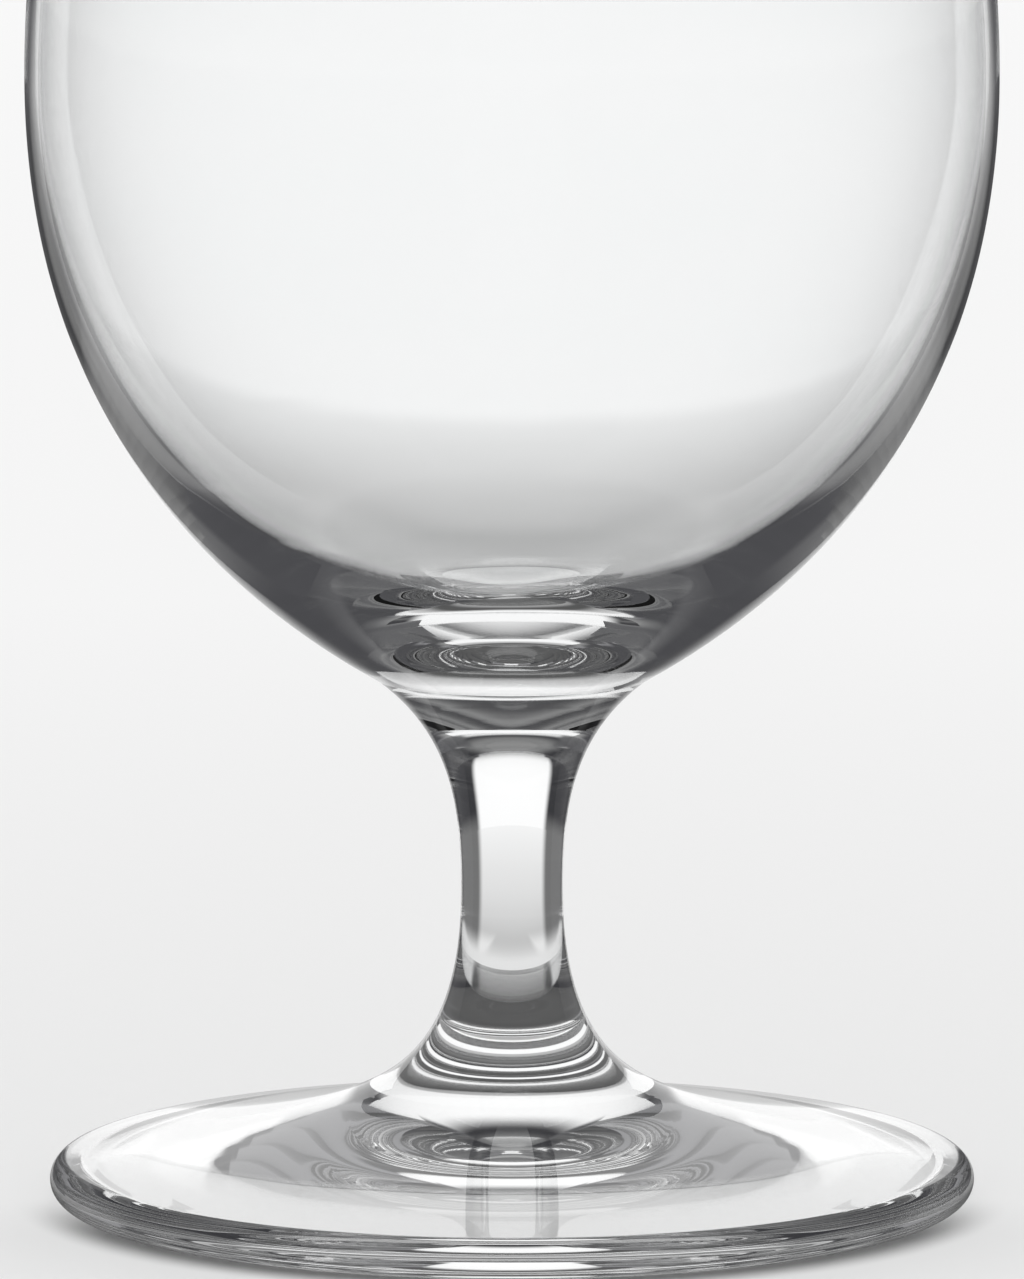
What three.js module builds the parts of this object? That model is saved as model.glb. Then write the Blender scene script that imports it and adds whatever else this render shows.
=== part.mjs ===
// Red wine glass of clear soda-lime glass: a blown bowl, a drawn stem and a pressed foot.
// The three are made apart and welded hot, end face on end face, so each is a solid of its own.
// Millimetres, +Z up. The origin is on the table, under the middle of the foot.
import * as THREE from "three";

// Foot
const footDiameter = 80;
const footEdgeThickness = 3.6;
const footHeight = 9.8; // from the table to the weld with the stem
const footWeldDiameter = 24.6;
const restRingWidth = 1.5; // the flat ring that stands on the table
const undersideHollow = 3.7; // how far the underside rises inside that ring

// Stem
const stemLength = 35.3;
const stemWaistDiameter = 8.8;
const stemWaistHeight = 17; // above the weld with the foot
const stemHeadDiameter = 23.2; // at the weld with the bowl

// Bowl
const bowlHeight = 101;
const bellyDiameter = 83.2;
const bellyHeight = 51.6; // above the weld with the stem
const rimDiameter = 63;
const rimThickness = 1;
const wallThickness = 0.87; // at the belly; from there the wall thickens down to the base
const baseThickness = 5.05; // glass under the middle of the bowl
const floorDiameter = 17.3; // of the nearly flat floor inside
const floorRise = 0.46; // of that floor, from its middle to its edge

// Slopes of the surfaces where the curves meet, in degrees
const footEdgeSlope = 8.5; // top of the foot, beside the rounded edge
const hollowSlope = 9.8; // underside of the foot, beside the ring
const flareSlope = 27; // weld of foot and stem, the same on both
const stemHeadSlope = 37;
const bowlStartSlope = 29.5;
const floorSlope = 14.2; // edge of the floor inside the bowl
const rimLean = 17; // inwards from upright

// Fullness of each curve: the length of its two handles over the run or rise that it covers
const hollowFullness = [0.3, 0.45];
const footTopFullness = [0.08, 0.79];
const stemFlareFullness = [0.325, 0.577];
const stemHeadFullness = [0.379, 0.443];
const bowlLowerFullness = [0.518, 0.355];
const bowlUpperFullness = [0.4, 0.33];
const bowlInsideFullness = [0.307, 0.415];
const bowlFloorFullness = [0.214, 0.443];

// Facets round the axis, and along each kind of curve
const facetsRound = 56;
const longCurveFacets = 12;
const curveFacets = 8;
const edgeFacets = 10;
const rimFacets = 6;
const floorFacets = 4;

const samePoint = 1e-6;
const glassColour = 0xeef2f1;
const glassRoughness = 0.03;
const glassOpacity = 0.35;

const radians = THREE.MathUtils.degToRad;
const at = (radius, height) => new THREE.Vector2(radius, height);

// The point a given length away from another, at a slope counted from the outward horizontal
function stepFrom(point, slope, length) {
  const angle = radians(slope);
  return at(point.x + length * Math.cos(angle), point.y + length * Math.sin(angle));
}

function curveBetween(start, startHandle, endHandle, end) {
  return new THREE.CubicBezierCurve(start, startHandle, endHandle, end);
}

function arcPoints(centre, radius, fromAngle, toAngle, facets) {
  const clockwise = toAngle < fromAngle;
  const arc = new THREE.EllipseCurve(
    centre.x,
    centre.y,
    radius,
    radius,
    radians(fromAngle),
    radians(toAngle),
    clockwise,
  );
  return arc.getPoints(facets);
}

// One outline from several stretches of points, with the points that they share kept once
function joinStretches(...stretches) {
  const outline = [];
  for (const point of stretches.flat()) {
    const last = outline.at(-1);
    if (!last || last.distanceTo(point) > samePoint) outline.push(point);
  }
  return outline;
}

function clearGlass() {
  return new THREE.MeshStandardMaterial({
    color: glassColour,
    roughness: glassRoughness,
    metalness: 0,
    transparent: true,
    opacity: glassOpacity,
  });
}

// A solid turned about the Z axis from an outline that starts and ends on the axis
function turned(name, outline) {
  const geometry = new THREE.LatheGeometry(outline, facetsRound);
  geometry.rotateX(Math.PI / 2);
  const piece = new THREE.Mesh(geometry, clearGlass());
  piece.name = name;
  return piece;
}

// Foot: a shallow cone, hollow underneath, with a flat ring to stand on and a fully rounded edge;
// its top rises gently to the weld and turns up there into the flare of the stem
function makeFoot() {
  const edgeRadius = footEdgeThickness / 2;
  const edgeCentre = at(footDiameter / 2 - edgeRadius, edgeRadius);
  const ringOuter = at(edgeCentre.x, 0);
  const ringInner = at(ringOuter.x - restRingWidth, 0);
  const hollowMiddle = at(0, undersideHollow);
  const [middleHandle, ringHandle] = hollowFullness;
  const hollow = curveBetween(
    hollowMiddle,
    at(middleHandle * ringInner.x, undersideHollow),
    stepFrom(ringInner, 180 - hollowSlope, ringHandle * ringInner.x),
    ringInner,
  );
  const edgeTopAngle = 90 - footEdgeSlope;
  const edge = arcPoints(edgeCentre, edgeRadius, -90, edgeTopAngle, edgeFacets);
  const edgeTop = edge.at(-1);
  const weld = at(footWeldDiameter / 2, footHeight);
  const run = edgeTop.x - weld.x;
  const [weldHandle, edgeHandle] = footTopFullness;
  const top = curveBetween(
    edgeTop,
    stepFrom(edgeTop, 180 - footEdgeSlope, edgeHandle * run),
    stepFrom(weld, -flareSlope, weldHandle * run),
    weld,
  );
  const outline = joinStretches(
    hollow.getPoints(curveFacets),
    [ringInner, ringOuter],
    edge,
    top.getPoints(longCurveFacets),
    [weld, at(0, footHeight)],
  );
  return turned("foot", outline);
}

// Stem: flares out of the foot, narrows to its waist and opens into a trumpet-shaped head
function makeStem() {
  const foot = at(footWeldDiameter / 2, 0);
  const waist = at(stemWaistDiameter / 2, stemWaistHeight);
  const head = at(stemHeadDiameter / 2, stemLength);
  const headRise = stemLength - stemWaistHeight;
  const [flareHandle, flareWaistHandle] = stemFlareFullness;
  const [headWaistHandle, headHandle] = stemHeadFullness;
  const flare = curveBetween(
    foot,
    stepFrom(foot, 180 - flareSlope, flareHandle * stemWaistHeight),
    stepFrom(waist, -90, flareWaistHandle * stemWaistHeight),
    waist,
  );
  const trumpet = curveBetween(
    waist,
    stepFrom(waist, 90, headWaistHandle * headRise),
    stepFrom(head, stemHeadSlope - 180, headHandle * headRise),
    head,
  );
  const outline = joinStretches(
    [at(0, 0), foot],
    flare.getPoints(longCurveFacets),
    trumpet.getPoints(longCurveFacets),
    [head, at(0, stemLength)],
  );
  return turned("stem", outline);
}

// Bowl: a round-bellied cup with a thin wall that thickens into the base, a flat floor and a rounded rim
function makeBowl() {
  const weld = at(stemHeadDiameter / 2, 0);
  const belly = at(bellyDiameter / 2, bellyHeight);
  const bellyInside = at(belly.x - wallThickness, bellyHeight);
  const rimRadius = rimThickness / 2;
  const rimCentre = at(rimDiameter / 2 - rimRadius, bowlHeight - rimRadius);
  const rim = arcPoints(rimCentre, rimRadius, rimLean, 180 + rimLean, rimFacets);
  const rimOutside = rim[0];
  const rimInside = rim.at(-1);
  const rise = bowlHeight - bellyHeight;
  const [weldHandle, bellyLowerHandle] = bowlLowerFullness;
  const [bellyUpperHandle, rimHandle] = bowlUpperFullness;

  const outerLower = curveBetween(
    weld,
    stepFrom(weld, bowlStartSlope, weldHandle * bellyHeight),
    stepFrom(belly, -90, bellyLowerHandle * bellyHeight),
    belly,
  );
  const outerUpper = curveBetween(
    belly,
    stepFrom(belly, 90, bellyUpperHandle * rise),
    stepFrom(rimOutside, rimLean - 90, rimHandle * rise),
    rimOutside,
  );
  const innerUpper = curveBetween(
    rimInside,
    stepFrom(rimInside, rimLean - 90, rimHandle * rise),
    stepFrom(bellyInside, 90, bellyUpperHandle * rise),
    bellyInside,
  );
  const floorEdge = at(floorDiameter / 2, baseThickness + floorRise);
  const insideRun = bellyInside.distanceTo(floorEdge);
  const [wallHandle, floorEdgeHandle] = bowlInsideFullness;
  const innerLower = curveBetween(
    bellyInside,
    stepFrom(bellyInside, -90, wallHandle * insideRun),
    stepFrom(floorEdge, floorSlope, floorEdgeHandle * insideRun),
    floorEdge,
  );
  const floorMiddle = at(0, baseThickness);
  const [floorOuterHandle, floorMiddleHandle] = bowlFloorFullness;
  const floor = curveBetween(
    floorEdge,
    stepFrom(floorEdge, floorSlope - 180, floorOuterHandle * floorEdge.x),
    stepFrom(floorMiddle, 0, floorMiddleHandle * floorEdge.x),
    floorMiddle,
  );
  const outline = joinStretches(
    [at(0, 0), weld],
    outerLower.getPoints(longCurveFacets),
    outerUpper.getPoints(curveFacets),
    rim,
    innerUpper.getPoints(curveFacets),
    innerLower.getPoints(longCurveFacets),
    floor.getPoints(floorFacets),
  );
  return turned("bowl", outline);
}

const foot = makeFoot();
const stem = makeStem();
const bowl = makeBowl();

// The bowl stands on the stem's head, and both stand on the foot
const bowlPlace = new THREE.Group();
bowlPlace.position.z = stemLength;
bowlPlace.add(bowl);
const stemPlace = new THREE.Group();
stemPlace.position.z = footHeight;
stemPlace.add(stem, bowlPlace);
const wineGlass = new THREE.Group();
wineGlass.add(foot, stemPlace);

export default wineGlass;
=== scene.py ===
# Clear red wine glass on a pale table, seen a little from above.
# The pieces' sizes are millimetres and degrees; the scene and the studio's lengths are metres.
import math
import bpy
import bmesh
from mathutils import Matrix


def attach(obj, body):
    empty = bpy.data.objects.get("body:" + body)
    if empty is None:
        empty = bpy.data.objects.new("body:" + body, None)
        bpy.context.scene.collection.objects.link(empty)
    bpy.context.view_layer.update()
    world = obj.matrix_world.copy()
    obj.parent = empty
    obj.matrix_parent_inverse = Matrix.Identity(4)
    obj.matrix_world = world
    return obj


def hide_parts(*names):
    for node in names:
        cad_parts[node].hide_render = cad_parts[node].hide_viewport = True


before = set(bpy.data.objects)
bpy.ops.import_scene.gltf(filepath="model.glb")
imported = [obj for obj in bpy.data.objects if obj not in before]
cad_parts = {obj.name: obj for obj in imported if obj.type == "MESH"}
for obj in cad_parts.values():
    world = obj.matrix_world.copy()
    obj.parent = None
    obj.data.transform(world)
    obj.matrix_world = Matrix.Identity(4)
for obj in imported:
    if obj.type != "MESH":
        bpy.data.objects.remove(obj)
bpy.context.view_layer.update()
scene = bpy.context.scene
mm = 0.001
print("frame loaded:", ", ".join(sorted(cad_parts)))

# kinds of node and settings that come up all the time
mathNode = "ShaderNodeMath"
mixNode = "ShaderNodeMix"
rangeNode = "ShaderNodeMapRange"
product = {"operation": "MULTIPLY"}
quotient = {"operation": "DIVIDE"}
difference = {"operation": "SUBTRACT"}
larger = {"operation": "MAXIMUM"}
lessThan = {"operation": "LESS_THAN"}
moreThan = {"operation": "GREATER_THAN"}
unsigned = {"operation": "ABSOLUTE"}
inDegrees = {"operation": "DEGREES"}
scaled = {"operation": "SCALE"}
eased = {"interpolation_type": "SMOOTHSTEP"}
colours = {"data_type": "RGBA"}
number = {"data_type": "FLOAT"}
pointNumber = {"data_type": "FLOAT", "domain": "POINT"}
pointPlace = {"data_type": "FLOAT_VECTOR", "domain": "POINT"}
faceNumber = {"data_type": "FLOAT", "domain": "FACE"}
numberMore = {"data_type": "FLOAT", "operation": "GREATER_THAN"}


# sRGB hex to the linear values that Blender's sockets take
def linear(hexColour):
    channels = [int(hexColour[i:i + 2], 16) / 255 for i in (1, 3, 5)]
    return [c / 12.92 if c <= 0.04045 else ((c + 0.055) / 1.055) ** 2.4 for c in channels] + [1]


# adds one node; an input is a plain value, the socket that feeds it or a node whose first output does,
# and a pair of inputs takes a pair of these
def addNode(tree, kind, settings=None, inputs=None):
    node = tree.nodes.new(kind)
    for name, value in (settings or {}).items():
        setattr(node, name, value)
    for names, values in (inputs or {}).items():
        fed = zip(names, values) if isinstance(names, tuple) else [(names, values)]
        for name, value in fed:
            source = value.outputs[0] if isinstance(value, bpy.types.Node) else value
            if isinstance(source, bpy.types.NodeSocket):
                tree.links.new(source, node.inputs[name])
            else:
                node.inputs[name].default_value = source
    return node


def emptyMaterial(name):
    material = bpy.data.materials.new(name)
    material.use_nodes = True
    material.node_tree.nodes.clear()
    return material


def addObject(name, data):
    item = bpy.data.objects.new(name, data)
    scene.collection.objects.link(item)
    return item


# outlines: points are (radius, height), slopes count from the outward horizontal
def stepFrom(point, slope, length):
    angle = math.radians(slope)
    return (point[0] + length * math.cos(angle), point[1] + length * math.sin(angle))


def curvePoint(handles, share):
    rest = 1 - share
    weights = (rest ** 3, 3 * rest * rest * share, 3 * rest * share * share, share ** 3)
    return tuple(sum(w * p[axis] for w, p in zip(weights, handles)) for axis in (0, 1))


def curvePoints(handles, count):
    return [curvePoint(handles, i / count) for i in range(count + 1)]


def arcPoints(centre, radius, fromAngle, toAngle, count):
    turns = [fromAngle + (toAngle - fromAngle) * i / count for i in range(count + 1)]
    return [stepFrom(centre, turn, radius) for turn in turns]


# a weld face is dished by a hair, so that two faces that are fused never lie in one plane
weldFace = {"dish": 0.08, "steps": 10}


# from the middle out to the edge; the middle is raised where side is 1 and sunk where it is -1
def dishedFace(edge, side):
    depth = side * weldFace["dish"]
    shares = [i / weldFace["steps"] for i in range(weldFace["steps"] + 1)]
    return [(edge[0] * share, edge[1] + depth * (1 - share * share)) for share in shares]


# Hot-worked glass: the metres within which mesh points merge and outline points are one, the noise that
# makes its unevenness, and the share of weld above which a face counts as weld
hotGlass = {"merge": 1e-6, "samePoint": 1e-7, "waveDetail": 1.0, "noiseMiddle": 0.5, "weldShare": 0.9}


# Geometry Nodes: turns an outline about the axis and gives the surface the slight unevenness of hot glass
def turnedGlassTree():
    tree = bpy.data.node_groups.new("turnedGlass", "GeometryNodeTree")
    inputs = {"Outline": "Geometry", "Facets round": "Int", "Wave height": "Float", "Wave length": "Float",
              "Wave seed": "Float", "Crease angle": "Float", "Glass": "Material", "Weld": "Material"}
    for name, kind in inputs.items():
        tree.interface.new_socket(name, in_out="INPUT", socket_type="NodeSocket" + kind)
    tree.interface.new_socket("Solid", in_out="OUTPUT", socket_type="NodeSocketGeometry")
    given = addNode(tree, "NodeGroupInput").outputs

    # a sheet with one column of points for each step round, later rolled up onto the outline
    size = addNode(tree, "GeometryNodeAttributeDomainSize", {"component": "MESH"},
                   {"Geometry": given["Outline"]})
    pointCount = size.outputs["Point Count"]
    columns = addNode(tree, mathNode, {"operation": "ADD"}, {0: given["Facets round"], 1: 1})
    sheet = addNode(tree, "GeometryNodeMeshGrid", None, {"Vertices X": columns, "Vertices Y": pointCount})
    index = addNode(tree, "GeometryNodeInputIndex")
    along = addNode(tree, mathNode, {"operation": "MODULO"}, {0: index, 1: pointCount})
    perColumn = addNode(tree, mathNode, quotient, {0: index, 1: pointCount})
    column = addNode(tree, mathNode, {"operation": "FLOOR"}, {0: perColumn})
    turn = addNode(tree, mathNode, quotient, {0: column, 1: given["Facets round"]})
    angle = addNode(tree, mathNode, product, {0: turn, 1: math.tau})

    place = addNode(tree, "GeometryNodeInputPosition")
    outlinePlace = addNode(tree, "GeometryNodeSampleIndex", pointPlace,
                           {"Geometry": given["Outline"], "Value": place, "Index": along})
    rolled = addNode(tree, "ShaderNodeVectorRotate", {"rotation_type": "Z_AXIS"},
                     {"Vector": outlinePlace, "Angle": angle})
    held = sheet
    for name in ("weld", "wave"):
        attribute = addNode(tree, "GeometryNodeInputNamedAttribute", number, {"Name": name})
        picked = addNode(tree, "GeometryNodeSampleIndex", pointNumber,
                         {"Geometry": given["Outline"], "Value": attribute, "Index": along})
        held = addNode(tree, "GeometryNodeStoreNamedAttribute", pointNumber,
                       {"Geometry": held, "Name": name, "Value": picked})
    rolledUp = addNode(tree, "GeometryNodeSetPosition", None, {"Geometry": held, "Position": rolled})
    closed = addNode(tree, "GeometryNodeMergeByDistance", None,
                     {"Geometry": rolledUp, "Distance": hotGlass["merge"]})

    # waves: noise along the normal, only where the outline asks for them
    waveScale = addNode(tree, mathNode, quotient, {0: 1.0, 1: given["Wave length"]})
    noise = addNode(tree, "ShaderNodeTexNoise", {"noise_dimensions": "4D"},
                    {"Vector": place, "W": given["Wave seed"], "Scale": waveScale,
                     "Detail": hotGlass["waveDetail"]})
    centred = addNode(tree, mathNode, difference, {0: noise, 1: hotGlass["noiseMiddle"]})
    mask = addNode(tree, "GeometryNodeInputNamedAttribute", number, {"Name": "wave"})
    height = addNode(tree, mathNode, product, {0: given["Wave height"], 1: mask})
    push = addNode(tree, mathNode, product, {0: centred, 1: height})
    normal = addNode(tree, "GeometryNodeInputNormal")
    offset = addNode(tree, "ShaderNodeVectorMath", scaled, {0: normal, "Scale": push})
    waved = addNode(tree, "GeometryNodeSetPosition", None, {"Geometry": closed, "Offset": offset})

    # smooth all over, with a crease only where the weld face meets the side
    smooth = addNode(tree, "GeometryNodeSetShadeSmooth", {"domain": "FACE"}, {0: waved, 2: True})
    bend = addNode(tree, "GeometryNodeInputMeshEdgeAngle").outputs["Unsigned Angle"]
    sharp = addNode(tree, "FunctionNodeCompare", numberMore, {0: bend, 1: given["Crease angle"]})
    creased = addNode(tree, "GeometryNodeSetShadeSmooth", {"domain": "EDGE"},
                      {0: smooth, 1: sharp, 2: False})
    real = addNode(tree, "GeometryNodeRealizeInstances", None, {0: creased})
    clear = addNode(tree, "GeometryNodeSetMaterial", None, {"Geometry": real, "Material": given["Glass"]})
    onWeld = addNode(tree, "GeometryNodeInputNamedAttribute", number, {"Name": "weld"})
    weldShare = addNode(tree, "GeometryNodeFieldOnDomain", faceNumber, {0: onWeld})
    isWeld = addNode(tree, "FunctionNodeCompare", numberMore, {0: weldShare, 1: hotGlass["weldShare"]})
    fused = addNode(tree, "GeometryNodeSetMaterial", None,
                    {"Geometry": clear, "Selection": isWeld, "Material": given["Weld"]})
    addNode(tree, "NodeGroupOutput", None, {"Solid": fused})
    return tree


# a plain mesh from stretches of outline, each with its share of waves and whether it is a weld face
def turnedPiece(name, stretches, lift, values, tree, glass, weld):
    points, welds, waves = [], [], []
    for stretch in stretches:
        onWeld = stretch.get("weld", 0)
        waveShare = stretch.get("wave", 0)
        for point in stretch["points"]:
            spot = (point[0] * mm, 0, (point[1] + lift) * mm)
            if points and math.dist(points[-1], spot) < hotGlass["samePoint"]:
                welds[-1] = max(welds[-1], onWeld)
                waves[-1] = min(waves[-1], waveShare)
                continue
            points.append(spot)
            welds.append(onWeld)
            waves.append(waveShare)
    outline = bpy.data.meshes.new(name + "Outline")
    outline.from_pydata(points, [(i, i + 1) for i in range(len(points) - 1)], [])
    for attributeName, amounts in (("weld", welds), ("wave", waves)):
        attribute = outline.attributes.new(attributeName, "FLOAT", "POINT")
        attribute.data.foreach_set("value", amounts)
    source = addObject(name + "Source", outline)
    modifier = source.modifiers.new("turned", "NODES")
    modifier.node_group = tree
    given = {"Facets round": values["facetsRound"], "Wave height": values["waveHeight"] * mm,
             "Wave length": values["waveLength"] * mm, "Wave seed": values["waveSeed"],
             "Crease angle": math.radians(values["creaseAngle"]), "Glass": glass, "Weld": weld}
    for item in tree.interface.items_tree:
        if item.in_out == "INPUT" and item.name in given:
            modifier[item.identifier] = given[item.name]
    depsgraph = bpy.context.evaluated_depsgraph_get()
    mesh = bpy.data.meshes.new_from_object(source.evaluated_get(depsgraph))
    mesh.name = name
    bpy.data.objects.remove(source)
    bpy.data.meshes.remove(outline)
    print(name, "made:", len(mesh.vertices), "points,", len(mesh.polygons), "faces")
    return addObject(name, mesh)


# Soda-lime glass, blown or pressed and then fire-polished: clear with hardly any tint, a mirror-smooth skin
# and faint long striae that pull bright lines slightly out of true. Widths, patches and depths are
# millimetres.
sodaLime = {"clear": "#ffffff", "faint": "#fdfefe", "ior": 1.52, "striaeWidth": 9.0, "striaeStretch": 0.35,
            "striaeDetail": 1.5, "striaeDepth": 0.004, "filmPatch": 22.0, "filmDetail": 3.0,
            "filmFrom": (0.45, 0.75), "filmRoughness": 0.012}


def sodaLimeGlass():
    material = emptyMaterial("sodaLimeGlassFirePolished")
    tree = material.node_tree
    place = addNode(tree, "ShaderNodeTexCoord").outputs["Object"]
    # striae run round the axis, so they are stretched sideways
    sideways = sodaLime["striaeStretch"]
    stretched = addNode(tree, "ShaderNodeMapping", None,
                        {"Vector": place, "Scale": (sideways, sideways, 1.0)})
    striae = addNode(tree, "ShaderNodeTexNoise", None,
                     {"Vector": stretched, "Scale": 1 / (sodaLime["striaeWidth"] * mm),
                      "Detail": sodaLime["striaeDetail"]})
    film = addNode(tree, "ShaderNodeTexNoise", None,
                   {"Vector": place, "Scale": 1 / (sodaLime["filmPatch"] * mm),
                    "Detail": sodaLime["filmDetail"]})
    tint = addNode(tree, mixNode, colours,
                   {"Factor": striae, 6: linear(sodaLime["clear"]), 7: linear(sodaLime["faint"])})
    haze = addNode(tree, rangeNode, None,
                   {0: film, (1, 2): sodaLime["filmFrom"], (3, 4): (0.0, sodaLime["filmRoughness"])})
    bump = addNode(tree, "ShaderNodeBump", None,
                   {"Strength": 1.0, "Distance": sodaLime["striaeDepth"] * mm, "Height": striae})
    body = addNode(tree, "ShaderNodeBsdfPrincipled", None,
                   {"Base Color": tint.outputs[2], "Roughness": haze, "IOR": sodaLime["ior"],
                    "Transmission Weight": 1.0, "Normal": bump})
    addNode(tree, "ShaderNodeOutputMaterial", None, {"Surface": body})
    return material


# The weld: two gathers fused hot into one, so light goes straight on and nothing shows.
fusedWeld = {"clear": "#ffffff", "roughness": 0.0, "ior": 1.0}


def fusedWeldGlass():
    material = emptyMaterial("fusedGlassWeld")
    tree = material.node_tree
    body = addNode(tree, "ShaderNodeBsdfPrincipled", None,
                   {"Base Color": linear(fusedWeld["clear"]), "Roughness": fusedWeld["roughness"],
                    "IOR": fusedWeld["ior"], "Transmission Weight": 1.0})
    addNode(tree, "ShaderNodeOutputMaterial", None, {"Surface": body})
    return material


glass = sodaLimeGlass()
weld = fusedWeldGlass()
turnedGlass = turnedGlassTree()
print("glass and outline tree ready")

# Steps are the points along each curve. The calm steps beside a weld have no waves, so that the pieces meet.
footSizes = {"diameter": 80, "edgeThickness": 3.6, "height": 9.8, "weldDiameter": 24.6, "ringWidth": 1.5,
             "hollow": 3.7, "hollowSlope": 9.8, "hollowFullness": (0.30, 0.45), "edgeSlope": 8.5,
             "flareSlope": 27, "topFullness": (0.08, 0.79),
             "hollowSteps": 90, "ringSteps": 6, "edgeSteps": 36, "topSteps": 72, "calmSteps": 8,
             "facetsRound": 256, "waveHeight": 0.06, "waveLength": 26, "waveSeed": 3.0, "edgeWave": 0.1,
             "creaseAngle": 24}


# a shallow cone, hollow underneath, with a flat ring to stand on and a rounded edge
def footStretches():
    sizes = footSizes
    edgeRadius = sizes["edgeThickness"] / 2
    edgeCentre = (sizes["diameter"] / 2 - edgeRadius, edgeRadius)
    ringOuter = (edgeCentre[0], 0)
    ringInner = (ringOuter[0] - sizes["ringWidth"], 0)
    middle = (0, sizes["hollow"])
    middleHandle, ringHandle = sizes["hollowFullness"]
    hollow = curvePoints([middle, (middleHandle * ringInner[0], sizes["hollow"]),
                          stepFrom(ringInner, 180 - sizes["hollowSlope"], ringHandle * ringInner[0]),
                          ringInner], sizes["hollowSteps"])
    ringSteps = sizes["ringSteps"]
    ring = [(ringInner[0] + (ringOuter[0] - ringInner[0]) * i / ringSteps, 0) for i in range(ringSteps + 1)]
    edge = arcPoints(edgeCentre, edgeRadius, -90, 90 - sizes["edgeSlope"], sizes["edgeSteps"])
    edgeTop = edge[-1]
    weldEdge = (sizes["weldDiameter"] / 2, sizes["height"])
    run = edgeTop[0] - weldEdge[0]
    weldHandle, edgeHandle = sizes["topFullness"]
    top = curvePoints([edgeTop, stepFrom(edgeTop, 180 - sizes["edgeSlope"], edgeHandle * run),
                       stepFrom(weldEdge, -sizes["flareSlope"], weldHandle * run), weldEdge],
                      sizes["topSteps"])
    calm = sizes["calmSteps"]
    return [{"points": hollow, "wave": 1}, {"points": ring}, {"points": edge, "wave": sizes["edgeWave"]},
            {"points": top[:-calm], "wave": 1}, {"points": top[-calm:]},
            {"points": dishedFace(weldEdge, -1)[::-1], "weld": 1}]


stemSizes = {"length": 35.3, "waistDiameter": 8.8, "waistHeight": 17, "headDiameter": 23.2, "headSlope": 37,
             "flareFullness": (0.325, 0.577), "headFullness": (0.379, 0.443),
             "flareSteps": 80, "trumpetSteps": 80, "calmSteps": 10,
             "facetsRound": 192, "waveHeight": 0.03, "waveLength": 14, "waveSeed": 5.0, "creaseAngle": 24}


# flares out of the foot, narrows to its waist and opens into a trumpet-shaped head
def stemStretches():
    sizes = stemSizes
    low = (footSizes["weldDiameter"] / 2, 0)
    waist = (sizes["waistDiameter"] / 2, sizes["waistHeight"])
    head = (sizes["headDiameter"] / 2, sizes["length"])
    rise = sizes["length"] - sizes["waistHeight"]
    lowHandle, waistLowHandle = sizes["flareFullness"]
    waistHandle, headHandle = sizes["headFullness"]
    flare = curvePoints([low, stepFrom(low, 180 - footSizes["flareSlope"], lowHandle * waist[1]),
                         stepFrom(waist, -90, waistLowHandle * waist[1]), waist], sizes["flareSteps"])
    trumpet = curvePoints([waist, stepFrom(waist, 90, waistHandle * rise),
                           stepFrom(head, sizes["headSlope"] - 180, headHandle * rise), head],
                          sizes["trumpetSteps"])
    calm = sizes["calmSteps"]
    return [{"points": dishedFace(low, 1), "weld": 1}, {"points": flare[:calm]},
            {"points": flare[calm:], "wave": 1}, {"points": trumpet[:-calm], "wave": 1},
            {"points": trumpet[-calm:]}, {"points": dishedFace(head, -1)[::-1], "weld": 1}]


# sideWaves: from the belly down the inside, the share of the waves up to each step
bowlSizes = {"height": 101, "bellyDiameter": 83.2, "bellyHeight": 51.6, "rimDiameter": 63, "rimThickness": 1,
             "wall": 0.87, "base": 5.05, "floorDiameter": 17.3, "floorRise": 0.46, "floorSlope": 14.2,
             "startSlope": 29.5, "rimLean": 17, "lowerFullness": (0.518, 0.355),
             "upperFullness": (0.4, 0.33), "sideFullness": (0.307, 0.415), "floorFullness": (0.214, 0.443),
             "outerSteps": 110, "upperSteps": 40, "rimSteps": 14, "sideSteps": 120, "floorSteps": 30,
             "calmSteps": 8, "facetsRound": 256, "waveHeight": 0.14, "waveLength": 13, "waveSeed": 1.0,
             "wallWave": 0.1, "sideWaves": ((72, 0.1), (84, 0.3), (96, 0.65), (121, 1)), "creaseAngle": 24}


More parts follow.
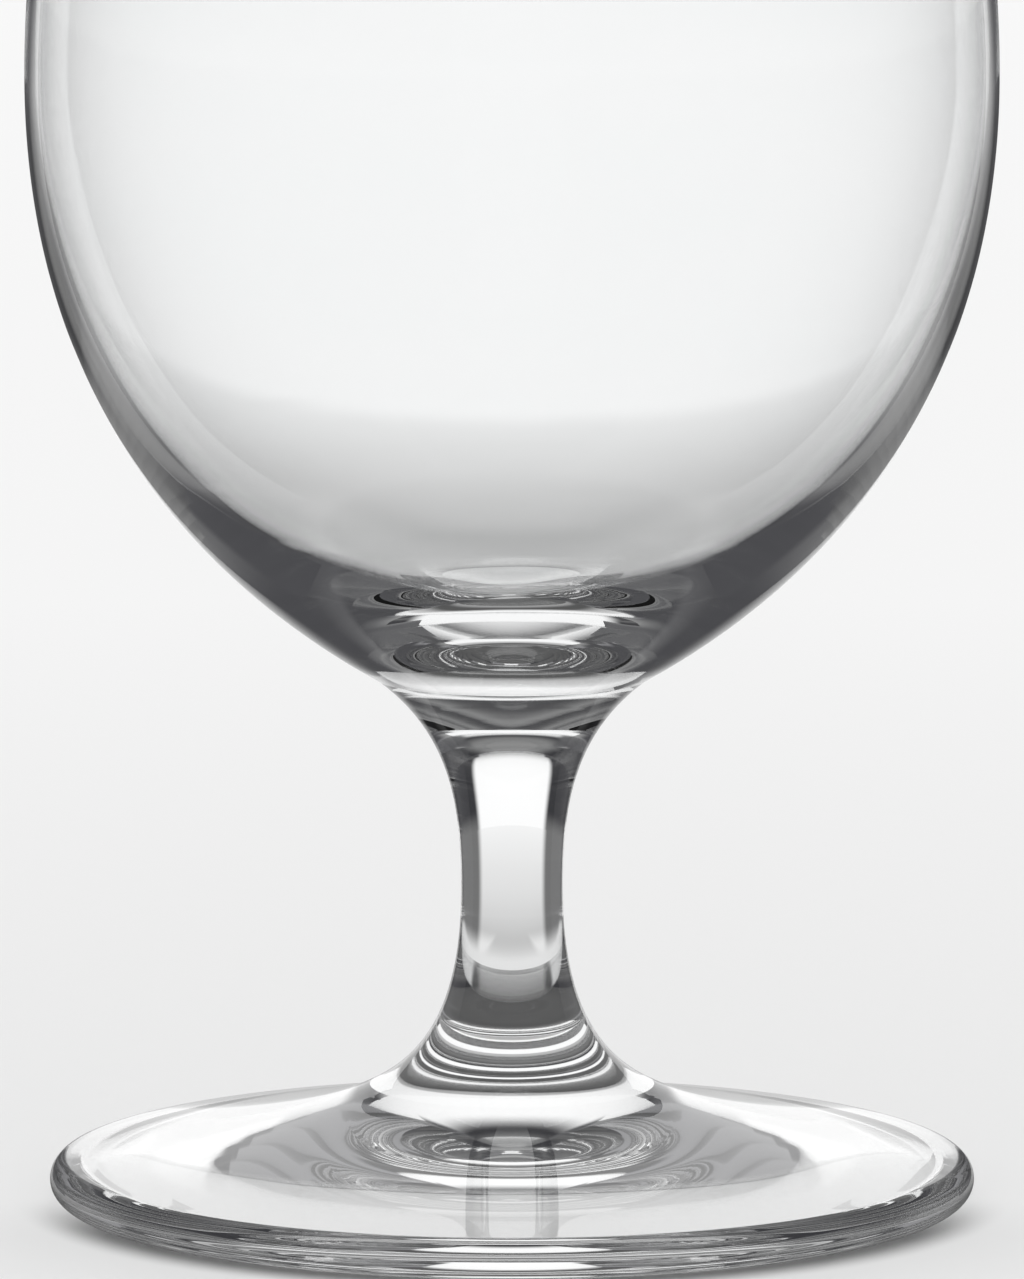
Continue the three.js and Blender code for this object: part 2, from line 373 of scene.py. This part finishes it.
# a round-bellied cup whose thin wall thickens into the base, with a nearly flat floor and a rounded rim
def bowlStretches():
    sizes = bowlSizes
    weldEdge = (stemSizes["headDiameter"] / 2, 0)
    belly = (sizes["bellyDiameter"] / 2, sizes["bellyHeight"])
    bellyInside = (belly[0] - sizes["wall"], belly[1])
    rimRadius = sizes["rimThickness"] / 2
    rimCentre = (sizes["rimDiameter"] / 2 - rimRadius, sizes["height"] - rimRadius)
    lean = sizes["rimLean"]
    rim = arcPoints(rimCentre, rimRadius, lean, 180 + lean, sizes["rimSteps"])
    rise = sizes["height"] - sizes["bellyHeight"]
    weldHandle, bellyLowHandle = sizes["lowerFullness"]
    bellyHandle, rimHandle = sizes["upperFullness"]
    outer = curvePoints([weldEdge, stepFrom(weldEdge, sizes["startSlope"], weldHandle * belly[1]),
                         stepFrom(belly, -90, bellyLowHandle * belly[1]), belly], sizes["outerSteps"])
    upper = curvePoints([belly, stepFrom(belly, 90, bellyHandle * rise),
                         stepFrom(rim[0], lean - 90, rimHandle * rise), rim[0]], sizes["upperSteps"])
    innerUpper = curvePoints([rim[-1], stepFrom(rim[-1], lean - 90, rimHandle * rise),
                              stepFrom(bellyInside, 90, bellyHandle * rise), bellyInside],
                             sizes["upperSteps"])
    floorEdge = (sizes["floorDiameter"] / 2, sizes["base"] + sizes["floorRise"])
    run = math.dist(bellyInside, floorEdge)
    wallHandle, edgeHandle = sizes["sideFullness"]
    side = curvePoints([bellyInside, stepFrom(bellyInside, -90, wallHandle * run),
                        stepFrom(floorEdge, sizes["floorSlope"], edgeHandle * run), floorEdge],
                       sizes["sideSteps"])
    floorMiddle = (0, sizes["base"])
    outHandle, middleHandle = sizes["floorFullness"]
    floor = curvePoints([floorEdge, stepFrom(floorEdge, sizes["floorSlope"] - 180, outHandle * floorEdge[0]),
                         stepFrom(floorMiddle, 0, middleHandle * floorEdge[0]), floorMiddle],
                        sizes["floorSteps"])
    calm = sizes["calmSteps"]
    wave = sizes["wallWave"]
    stretches = [{"points": dishedFace(weldEdge, 1), "weld": 1}, {"points": outer[:calm]},
                 {"points": outer[calm:], "wave": wave}, {"points": upper, "wave": wave}, {"points": rim},
                 {"points": innerUpper, "wave": wave}]
    start = 0
    for end, share in sizes["sideWaves"]:
        stretches.append({"points": side[start:end], "wave": share})
        start = end
    return stretches + [{"points": floor, "wave": 1}]


stemLift = footSizes["height"]
bowlLift = stemLift + stemSizes["length"]
pieces = {"foot": turnedPiece("footDisc", footStretches(), 0, footSizes, turnedGlass, glass, weld),
          "stem": turnedPiece("drawnStem", stemStretches(), stemLift, stemSizes, turnedGlass, glass, weld),
          "bowl": turnedPiece("blownBowl", bowlStretches(), bowlLift, bowlSizes, turnedGlass, glass, weld)}
for node, piece in pieces.items():
    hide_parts(node)
    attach(piece, "root")
print("three pieces in place of the solids")

# Studio: a pale table that runs into a bright white sweep, dark walls to the sides and the front, and two
# black cards beside the glass, as for any picture of clear glass: its edges are drawn by what is dark beside
# the white. The cards, and the table as rays from the glass see it, glow with painted light and shade, and
# the table to the camera carries a painted sheen and a painted shadow. In every dictionary a pair is where a
# change begins and where it ends.

# Depths are whole numbers, so each limit stands half way between two of them. A wall has two surfaces.
rays = {"any": 0.5, "many": 3.5, "deep": 6.5, "surfacesPerWall": 2}


# how many surfaces and mirrors a ray has met since it left the camera
def rayHistory(tree):
    path = addNode(tree, "ShaderNodeLightPath").outputs
    passed = path["Transmission Depth"]
    either = addNode(tree, mathNode, larger, {0: path["Is Glossy Ray"], 1: path["Is Transmission Ray"]})
    early = addNode(tree, mathNode, lessThan, {0: path["Diffuse Depth"], 1: rays["any"]})
    fromGlass = addNode(tree, mathNode, product, {0: either, 1: early})
    mirrored = addNode(tree, mathNode, moreThan, {0: path["Glossy Depth"], 1: rays["any"]})
    straight = addNode(tree, mathNode, difference, {0: 1.0, 1: mirrored})
    history = {"fromCamera": path["Is Camera Ray"], "fromGlass": fromGlass, "mirrored": mirrored,
               "straight": straight,
               "manyWalls": addNode(tree, mathNode, moreThan, {0: passed, 1: rays["many"]}),
               "deep": addNode(tree, mathNode, moreThan, {0: passed, 1: rays["deep"]})}
    for name, walls in (("oneWall", 1), ("twoWalls", 2)):
        met = addNode(tree, mathNode, {"operation": "COMPARE"},
                      {0: passed, 1: walls * rays["surfacesPerWall"], 2: rays["any"]})
        history[name] = addNode(tree, mathNode, product, {0: met, 1: straight})
    return history


# The white sweep behind the glass. Azimuths count from the back, in degrees. Rays that go straight through
# the bowl or the foot find openings to the sides and all of the front white too, so that the glass is clear
# from most other directions as well.
sweep = {"white": "#ffffff", "strength": 1.08, "half": (24, 30), "top": (28, 50), "manyWallsSqueeze": 0.6,
         "bowlOpenings": (-90, -45, 45, 90), "footOpenings": (-90, 90), "openingHalf": (12, 18),
         "openingTop": (4, 8), "allOpenFrom": (98, 108)}


def brightSweep():
    return [c * sweep["strength"] for c in linear(sweep["white"])[:3]] + [1]


def azimuthOf(tree, parts):
    angle = addNode(tree, mathNode, {"operation": "ARCTAN2"}, {0: parts["X"], 1: parts["Y"]})
    return addNode(tree, mathNode, inDegrees, {0: angle})


# shares of the white at the back, through the bowl and through the foot, at an azimuth
def openWhite(tree, history, azimuth, backHalf):
    spread = addNode(tree, mathNode, unsigned, {0: azimuth})
    squeeze = addNode(tree, rangeNode, None,
                      {0: history["manyWalls"], (1, 2): (0, 1), (3, 4): (1, sweep["manyWallsSqueeze"])})
    squeezed = addNode(tree, mathNode, product, {0: spread, 1: squeeze})
    back = addNode(tree, rangeNode, eased, {0: squeezed, (1, 2): backHalf, (3, 4): (1, 0)})
    allOpen = addNode(tree, rangeNode, eased,
                      {0: spread, (1, 2): sweep["allOpenFrom"], (3, 4): (0, 1)})
    opened = {}
    for name in ("bowlOpenings", "footOpenings"):
        widest = allOpen
        for middle in sweep[name]:
            away = addNode(tree, mathNode, difference, {0: azimuth, 1: middle})
            aside = addNode(tree, mathNode, unsigned, {0: away})
            gap = addNode(tree, rangeNode, eased,
                          {0: aside, (1, 2): sweep["openingHalf"], (3, 4): (1, 0)})
            widest = addNode(tree, mathNode, larger, {0: widest, 1: gap})
        opened[name] = widest
    footOpened = addNode(tree, mathNode, product, {0: opened["footOpenings"], 1: history["oneWall"]})
    return back, opened["bowlOpenings"], footOpened


# The table to the camera: three shades of white, growing paler from the glass outwards as a painted sheen,
# and a painted shadow of the foot in front.
table = {"near": "#e9e9e9", "middle": "#f5f5f5", "far": "#f9f9f9", "middleAt": 0.43, "farAt": 2.0,
         "edgeShade": 0.25, "edgeShadeFrom": (0.0385, 0.0435), "wideShade": 0.88,
         "wideShadeFrom": (0.038, 0.060), "shadeFront": (-0.5, 0.0), "drop": 0.0001, "radius": 6.0,
         "segments": 128}


def mattTable(tree, parts, distance):
    toMiddle = addNode(tree, rangeNode, None,
                       {0: distance, (1, 2): (0, table["middleAt"]), (3, 4): (0, 1)})
    toFar = addNode(tree, rangeNode, None,
                    {0: distance, (1, 2): (table["middleAt"], table["farAt"]), (3, 4): (0, 1)})
    nearer = addNode(tree, mixNode, colours,
                     {"Factor": toMiddle, 6: linear(table["near"]), 7: linear(table["middle"])})
    pale = addNode(tree, mixNode, colours,
                   {"Factor": toFar, 6: nearer.outputs[2], 7: linear(table["far"])})
    # painted shadow: in front, the colour is darkened in a narrow ring round the foot's rounded edge, and a
    # little in a wide one, where the edge would keep light off the table
    edgeShade = addNode(tree, rangeNode, eased,
                        {0: distance, (1, 2): table["edgeShadeFrom"], (3, 4): (table["edgeShade"], 1)})
    wideShade = addNode(tree, rangeNode, None,
                        {0: distance, (1, 2): table["wideShadeFrom"], (3, 4): (table["wideShade"], 1)})
    ringShade = addNode(tree, mathNode, product, {0: edgeShade, 1: wideShade})
    backward = addNode(tree, mathNode, quotient, {0: parts["Y"], 1: distance})
    fallen = addNode(tree, rangeNode, eased,
                     {0: backward, (1, 2): table["shadeFront"], (3, 4): (ringShade, 1)})
    ringed = addNode(tree, "ShaderNodeVectorMath", scaled, {0: pale.outputs[2], "Scale": fallen})
    matt = addNode(tree, "ShaderNodeBsdfDiffuse", None, {"Color": ringed})
    return pale.outputs[2], matt


# The table through the glass glows: what rays from the glass see of it is painted light and shade. Behind the
# glass: painted shade near it and bright further back, which the solid stem blurs into one long gradient. To
# the sides: painted gray shade, apart from a painted lit strip beside the foot. Under the foot: a painted
# shadow of the stem in one spot and painted dark for mirrored rays, but pale for rays through one wall and
# for the deepest ones. Facing is 0 for a ray that comes straight down and 1 for one along the table.
tableSeen = {"shade": "#c4c4c4", "shadeAt": 0.12, "mirrorShade": "#585858", "mirrorFacing": (0.5, 0.7),
             "pale": "#f7f7f7", "sweepFrom": (0.295, 0.336), "half": (24, 31),
             "stemShade": "#a0a0a0", "stemShadeAt": 0.053, "stemShadeFrom": (0.062, 0.092),
             "stemShadeHalf": (0.016, 0.024),
             "side": "#767676", "sideMirrored": "#4c4c4e", "strip": (0.064, 0.078),
             "stripFront": (-0.06, -0.02), "stripBack": (0.036, 0.050),
             "underFoot": "#d4d4d4", "contact": (0.040, 0.060), "spot": "#5a5a5a", "spotBack": 0.024,
             "spotFrom": (0.012, 0.030), "spotRim": (0.0405, 0.0455), "spotRimShare": 0.6,
             "openingFrom": (0.22, 0.28), "openingFacing": (0.77, 0.81), "downFacing": (0.62, 0.74)}


# painted shade on the table behind the glass, paler further back
def tableBehind(tree, history, distance, sideways, facing):
    nearSweep = tableSeen["sweepFrom"][0]
    outward = addNode(tree, rangeNode, None,
                      {0: distance, (1, 2): (tableSeen["shadeAt"], nearSweep), (3, 4): (0, 1)})
    steepDown = addNode(tree, rangeNode, eased,
                        {0: facing, (1, 2): tableSeen["mirrorFacing"], (3, 4): (1, 0)})
    mirroredDown = addNode(tree, mathNode, product, {0: history["mirrored"], 1: steepDown})
    nearShade = addNode(tree, mixNode, colours,
                        {"Factor": mirroredDown, 6: linear(tableSeen["shade"]),
                         7: linear(tableSeen["mirrorShade"])})
    shaded = addNode(tree, mixNode, colours,
                     {"Factor": outward, 6: nearShade.outputs[2], 7: linear(tableSeen["pale"])})
    toSweep = addNode(tree, rangeNode, eased,
                      {0: distance, (1, 2): tableSeen["sweepFrom"], (3, 4): (0, 1)})
    wide = addNode(tree, mixNode, colours, {"Factor": toSweep, 6: shaded.outputs[2], 7: brightSweep()})
    nearness = addNode(tree, mathNode, {"operation": "DIVIDE", "use_clamp": True},
                       {0: tableSeen["stemShadeAt"], 1: distance})
    narrow = addNode(tree, mixNode, colours,
                     {"Factor": nearness, 6: linear(sweep["white"]), 7: linear(tableSeen["stemShade"])})
    clearOfFoot = addNode(tree, rangeNode, eased,
                          {0: distance, (1, 2): tableSeen["stemShadeFrom"], (3, 4): (0, 1)})
    behindStem = addNode(tree, rangeNode, eased,
                         {0: sideways, (1, 2): tableSeen["stemShadeHalf"], (3, 4): (1, 0)})
    stemSees = addNode(tree, mathNode, larger, {0: clearOfFoot, 1: behindStem})
    single = addNode(tree, mixNode, colours,
                     {"Factor": stemSees, 6: linear(tableSeen["pale"]), 7: narrow.outputs[2]})
    behind = addNode(tree, mixNode, colours,
                     {"Factor": history["oneWall"], 6: wide.outputs[2], 7: single.outputs[2]})
    return behind.outputs[2]


# painted gray shade on the table to the sides, with a painted lit strip beside the foot
def tableAround(tree, history, north, sideways, back, behind):
    strip = addNode(tree, rangeNode, eased, {0: sideways, (1, 2): tableSeen["strip"], (3, 4): (1, 0)})
    begins = addNode(tree, rangeNode, eased, {0: north, (1, 2): tableSeen["stripFront"], (3, 4): (0, 1)})
    ends = addNode(tree, rangeNode, eased, {0: north, (1, 2): tableSeen["stripBack"], (3, 4): (1, 0)})
    stripLength = addNode(tree, mathNode, product, {0: begins, 1: ends})
    besideFoot = addNode(tree, mathNode, product, {0: strip, 1: stripLength})
    lit = addNode(tree, mathNode, larger, {0: back, 1: besideFoot})
    aside = addNode(tree, mixNode, colours,
                    {"Factor": history["mirrored"], 6: linear(tableSeen["side"]),
                     7: linear(tableSeen["sideMirrored"])})
    around = addNode(tree, mixNode, colours, {"Factor": lit, 6: aside.outputs[2], 7: behind})
    return around.outputs[2]


# painted shadow of the stem and bowl on the table under the foot, painted lighter towards the foot's rim
def tableUnderFoot(tree, history, place, distance):
    spotMiddle = (0, tableSeen["spotBack"], 0)
    fromSpot = addNode(tree, "ShaderNodeVectorMath", {"operation": "DISTANCE"}, {0: place, 1: spotMiddle})
    spotEdge = addNode(tree, rangeNode, eased,
                       {0: fromSpot.outputs["Value"], (1, 2): tableSeen["spotFrom"], (3, 4): (0, 1)})
    lighter = addNode(tree, mathNode, product, {0: spotEdge, 1: history["straight"]})
    rimLight = addNode(tree, rangeNode, eased,
                       {0: distance, (1, 2): tableSeen["spotRim"], (3, 4): (0, tableSeen["spotRimShare"])})
    for share in (history["deep"], history["oneWall"], rimLight):
        lighter = addNode(tree, mathNode, larger, {0: lighter, 1: share})
    under = addNode(tree, mixNode, colours,
                    {"Factor": lighter, 6: linear(tableSeen["spot"]), 7: linear(tableSeen["underFoot"])})
    return under.outputs[2]


# through one wall or two, from other sides, the table looks as it does without the glass, and so it does
# straight down through the foot
def tableOpened(tree, history, distance, facing, beyond, opened, footOpened):
    steep = addNode(tree, rangeNode, eased,
                    {0: facing, (1, 2): tableSeen["openingFacing"], (3, 4): (1, 0)})
    outside = addNode(tree, rangeNode, eased,
                      {0: distance, (1, 2): tableSeen["openingFrom"], (3, 4): (0, 1)})
    steepOutside = addNode(tree, mathNode, product, {0: steep, 1: outside})
    oneSteep = addNode(tree, mathNode, product, {0: steepOutside, 1: history["oneWall"]})
    oneOrTwo = addNode(tree, mathNode, larger, {0: oneSteep, 1: history["twoWalls"]})
    side = addNode(tree, mathNode, product, {0: opened, 1: oneOrTwo})
    down = addNode(tree, rangeNode, eased,
                   {0: facing, (1, 2): tableSeen["downFacing"], (3, 4): (1, 0)})
    downFoot = addNode(tree, mathNode, product, {0: down, 1: history["oneWall"]})
    besideFoot = addNode(tree, mathNode, product, {0: footOpened, 1: beyond})
    plain = addNode(tree, mathNode, larger, {0: side, 1: downFoot})
    return addNode(tree, mathNode, larger, {0: plain, 1: besideFoot})


# White laminate, matt and pale all over, with a painted sheen that makes it a little darker close to the
# glass as it runs into the sweep, a painted shadow in front of the foot, and painted light and shade for the
# glass.
def paleTable():
    material = emptyMaterial("whiteTablePaintedSheenAndShade")
    tree = material.node_tree
    place = addNode(tree, "ShaderNodeTexCoord").outputs["Object"]
    parts = addNode(tree, "ShaderNodeSeparateXYZ", None, {0: place}).outputs
    distance = addNode(tree, "ShaderNodeVectorMath", {"operation": "LENGTH"}, {0: place}).outputs["Value"]
    sideways = addNode(tree, mathNode, unsigned, {0: parts["X"]})
    facing = addNode(tree, "ShaderNodeLayerWeight").outputs["Facing"]
    history = rayHistory(tree)
    pale, matt = mattTable(tree, parts, distance)
    back, opened, footOpened = openWhite(tree, history, azimuthOf(tree, parts), tableSeen["half"])
    behind = tableBehind(tree, history, distance, sideways, facing)
    around = tableAround(tree, history, parts["Y"], sideways, back, behind)
    under = tableUnderFoot(tree, history, place, distance)
    beyond = addNode(tree, rangeNode, eased,
                     {0: distance, (1, 2): tableSeen["contact"], (3, 4): (0, 1)})
    seen = addNode(tree, mixNode, colours, {"Factor": beyond, 6: under, 7: around})
    plain = tableOpened(tree, history, distance, facing, beyond, opened, footOpened)
    shown = addNode(tree, mixNode, colours, {"Factor": plain, 6: seen.outputs[2], 7: pale})
    through = addNode(tree, "ShaderNodeEmission", None, {"Color": shown.outputs[2]})
    mixed = addNode(tree, "ShaderNodeMixShader", None, {0: history["fromGlass"], 1: matt, 2: through})
    addNode(tree, "ShaderNodeOutputMaterial", None, {"Surface": mixed})
    return material


def tableTop():
    shape = bmesh.new()
    bmesh.ops.create_circle(shape, cap_ends=True, radius=table["radius"], segments=table["segments"])
    mesh = bpy.data.meshes.new("tableTop")
    shape.to_mesh(mesh)
    shape.free()
    mesh.materials.append(paleTable())
    mesh.transform(Matrix.Translation((0, 0, -table["drop"])))  # a hair of air under the foot
    addObject("tableTop", mesh)


# Painted dark card: a sheet that glows in painted dark and painted light, shown only where the glass mirrors
# it, so it draws the dark lines along the bowl's sides as painted reflections. Its lower back corner is cut
# off, so that the top of the foot mirrors the white.
cards = {"square": "#4a4a4d", "black": "#606062", "lit": "#999999", "front": "#bebebe", "foot": "#505052",
         "frontFoot": "#5c5c5e", "squareFoot": "#949496", "aside": 0.049, "from": 0.004, "to": 0.130,
         "height": 0.160, "cornerTo": 0.088, "cornerTop": 0.062, "litFrom": (0.054, 0.070),
         "frontSlant": 0.3, "frontFrom": (0.035, 0.047), "footTop": (0.006, 0.034),
         "frontRise": (0.034, 0.064), "squareRise": (0.024, 0.040), "grazing": (0.29, 0.46),
         "flatFrom": (0.85, 0.89), "flatTop": (0.028, 0.038), "manyFrom": (0.50, 0.60)}


# painted light: the card's lower part is painted lighter as if the table lit it, and its front edge as if the
# room did; looked at squarely it is black above a paler painted foot
def cardShade(tree, parts, facing):
    height = parts["Z"]
    low = addNode(tree, rangeNode, eased, {0: height, (1, 2): cards["litFrom"], (3, 4): (1, 0)})
    above = addNode(tree, rangeNode, eased, {0: height, (1, 2): cards["footTop"], (3, 4): (0, 1)})
    lower = addNode(tree, mixNode, colours,
                    {"Factor": above, 6: linear(cards["foot"]), 7: linear(cards["lit"])})
    upright = addNode(tree, mixNode, colours,
                      {"Factor": low, 6: linear(cards["black"]), 7: lower.outputs[2]})
    slanted = addNode(tree, mathNode, {"operation": "MULTIPLY_ADD"},
                      {0: height, 1: cards["frontSlant"], 2: parts["Y"]})
    forward = addNode(tree, rangeNode, eased, {0: slanted, (1, 2): cards["frontFrom"], (3, 4): (1, 0)})
    frontRise = addNode(tree, rangeNode, eased, {0: height, (1, 2): cards["frontRise"], (3, 4): (0, 1)})
    frontEdge = addNode(tree, mixNode, colours,
                        {"Factor": frontRise, 6: linear(cards["frontFoot"]), 7: linear(cards["front"])})
    graded = addNode(tree, mixNode, colours,
                     {"Factor": forward, 6: upright.outputs[2], 7: frontEdge.outputs[2]})
    grazing = addNode(tree, rangeNode, eased, {0: facing, (1, 2): cards["grazing"], (3, 4): (0, 1)})
    squareRise = addNode(tree, rangeNode, eased,
                         {0: height, (1, 2): cards["squareRise"], (3, 4): (0, 1)})
    square = addNode(tree, mixNode, colours,
                     {"Factor": squareRise, 6: linear(cards["squareFoot"]), 7: linear(cards["square"])})
    shade = addNode(tree, mixNode, colours,
                    {"Factor": grazing, 6: square.outputs[2], 7: graded.outputs[2]})
    return shade.outputs[2]


# the card lets the flattest rays pass low down, so the foot keeps its white top, and rays that have met many
# walls pass where they come at a slant, or everywhere if they come from deep in the glass
def cardShows(tree, history, parts, facing):
    lowest = addNode(tree, rangeNode, eased, {0: parts["Z"], (1, 2): cards["flatTop"], (3, 4): (1, 0)})
    flattest = addNode(tree, rangeNode, eased, {0: facing, (1, 2): cards["flatFrom"], (3, 4): (0, 1)})
    passes = addNode(tree, mathNode, product, {0: lowest, 1: flattest})
    slanting = addNode(tree, rangeNode, eased, {0: facing, (1, 2): cards["manyFrom"], (3, 4): (0, 1)})
    manyPass = addNode(tree, mathNode, product, {0: slanting, 1: history["manyWalls"]})
    for share in (manyPass, history["deep"]):
        passes = addNode(tree, mathNode, larger, {0: passes, 1: share})
    stays = addNode(tree, mathNode, difference, {0: 1.0, 1: passes})
    glassMirrors = addNode(tree, mathNode, product, {0: history["fromGlass"], 1: history["mirrored"]})
    return addNode(tree, mathNode, product, {0: glassMirrors, 1: stays})


def paintedDarkCard():
    material = emptyMaterial("paintedDarkCard")
    tree = material.node_tree
    history = rayHistory(tree)
    place = addNode(tree, "ShaderNodeTexCoord").outputs["Object"]
    parts = addNode(tree, "ShaderNodeSeparateXYZ", None, {0: place}).outputs
    facing = addNode(tree, "ShaderNodeLayerWeight").outputs["Facing"]
    black = addNode(tree, "ShaderNodeEmission", None, {"Color": cardShade(tree, parts, facing)})
    clear = addNode(tree, "ShaderNodeBsdfTransparent")
    shows = cardShows(tree, history, parts, facing)
    mixed = addNode(tree, "ShaderNodeMixShader", None, {0: shows, 1: clear, 2: black})
    addNode(tree, "ShaderNodeOutputMaterial", None, {"Surface": mixed})
    return material


def blackCards():
    material = paintedDarkCard()
    near, far, top = cards["from"], cards["to"], cards["height"]
    cornerTo, cornerTop = cards["cornerTo"], cards["cornerTop"]
    corners = [(near, 0), (cornerTo, 0), (cornerTo, cornerTop), (far, cornerTop), (far, top), (near, top)]
    for name, side in (("cardLeft", -1), ("cardRight", 1)):
        points = [(side * cards["aside"], y, z) for y, z in corners]
        mesh = bpy.data.meshes.new(name)
        mesh.from_pydata(points, [], [tuple(range(len(points)))])
        mesh.materials.append(material)
        card = addObject(name, mesh)
        card.visible_camera = card.visible_diffuse = card.visible_shadow = False


# The room: dark walls, a lighter front near the table and a ceiling that only rays through many walls find.
# All other light is even and white.
room = {"dark": "#38383b", "frontLow": "#686868", "frontFrom": (100, 150), "frontTop": (4, 30),
        "overhead": "#8a8a8a", "overheadFrom": (50, 70), "horizon": (-1, 5), "even": "#ffffff"}


def roomWalls(tree, history, azimuth, elevation):
    spread = addNode(tree, mathNode, unsigned, {0: azimuth})
    front = addNode(tree, rangeNode, eased, {0: spread, (1, 2): room["frontFrom"], (3, 4): (0, 1)})
    settle = addNode(tree, rangeNode, eased, {0: elevation, (1, 2): room["frontTop"], (3, 4): (1, 0)})
    frontShare = addNode(tree, mathNode, product, {0: front, 1: settle})
    overhead = addNode(tree, rangeNode, eased,
                       {0: elevation, (1, 2): room["overheadFrom"], (3, 4): (0, 1)})
    ceiling = addNode(tree, mathNode, product, {0: overhead, 1: history["manyWalls"]})
    horizon = addNode(tree, rangeNode, eased, {0: elevation, (1, 2): room["horizon"], (3, 4): (1, 0)})
    walls = linear(room["dark"])
    layers = ((frontShare, room["frontLow"]), (ceiling, room["overhead"]), (horizon, tableSeen["side"]))
    for share, colour in layers:
        walls = addNode(tree, mixNode, colours, {"Factor": share, 6: walls, 7: linear(colour)}).outputs[2]
    return walls


def roomWhite(tree, history, azimuth, elevation):
    back, opened, footOpened = openWhite(tree, history, azimuth, sweep["half"])
    low = addNode(tree, rangeNode, eased, {0: elevation, (1, 2): sweep["openingTop"], (3, 4): (1, 0)})
    lowOpen = addNode(tree, mathNode, product, {0: opened, 1: low})
    bowlOpen = addNode(tree, mathNode, product, {0: lowOpen, 1: history["twoWalls"]})
    footOpen = addNode(tree, mathNode, product, {0: footOpened, 1: low})
    sideOpen = addNode(tree, mathNode, larger, {0: bowlOpen, 1: footOpen})
    top = addNode(tree, rangeNode, eased, {0: elevation, (1, 2): sweep["top"], (3, 4): (1, 0)})
    lowBack = addNode(tree, mathNode, product, {0: back, 1: top})
    return addNode(tree, mathNode, larger, {0: lowBack, 1: sideOpen})


def studioWorld():
    world = bpy.data.worlds.new("softStudio")
    scene.world = world
    world.use_nodes = True
    tree = world.node_tree
    tree.nodes.clear()
    direction = addNode(tree, "ShaderNodeTexCoord").outputs["Generated"]
    parts = addNode(tree, "ShaderNodeSeparateXYZ", None, {0: direction}).outputs
    rise = addNode(tree, mathNode, {"operation": "ARCSINE"}, {0: parts["Z"]})
    elevation = addNode(tree, mathNode, inDegrees, {0: rise})
    azimuth = azimuthOf(tree, parts)
    history = rayHistory(tree)
    walls = roomWalls(tree, history, azimuth, elevation)
    white = roomWhite(tree, history, azimuth, elevation)
    dome = addNode(tree, mixNode, colours, {"Factor": white, 6: walls, 7: brightSweep()})
    seen = addNode(tree, "ShaderNodeBackground", None, {"Color": dome.outputs[2]})
    behind = addNode(tree, "ShaderNodeBackground", None, {"Color": linear(table["far"])})
    even = addNode(tree, "ShaderNodeBackground", None, {"Color": linear(room["even"])})
    light = addNode(tree, "ShaderNodeMixShader", None, {0: history["fromGlass"], 1: even, 2: seen})
    whole = addNode(tree, "ShaderNodeMixShader", None, {0: history["fromCamera"], 1: light, 2: behind})
    addNode(tree, "ShaderNodeOutputWorld", None, {"Surface": whole})


tableTop()
blackCards()
studioWorld()
print("table and studio light ready")

# the place is metres, the sensor millimetres, the focal length and the height pixels of the photograph
camera = {"place": (0, -0.800, 0.149), "pitch": 7.16, "focalPixels": 9369.4, "imageHeight": 1279,
          "sensor": 36, "clip": (0.01, 100)}


def photoCamera():
    data = bpy.data.cameras.new("photoCamera")
    data.sensor_width = camera["sensor"]
    data.lens = camera["focalPixels"] / camera["imageHeight"] * camera["sensor"]
    data.clip_start, data.clip_end = camera["clip"]
    holder = addObject("photoCamera", data)
    holder.location = camera["place"]
    holder.rotation_euler = (math.radians(90 - camera["pitch"]), 0, 0)
    scene.camera = holder


photoCamera()
scene.view_settings.view_transform = "Standard"
lightPaths = {"max_bounces": 40, "transmission_bounces": 40, "glossy_bounces": 40, "diffuse_bounces": 4,
              "transparent_max_bounces": 40}
for name, count in lightPaths.items():
    setattr(scene.cycles, name, count)
scene.cycles.blur_glossy = 0  # light through the glass reaches the table undimmed
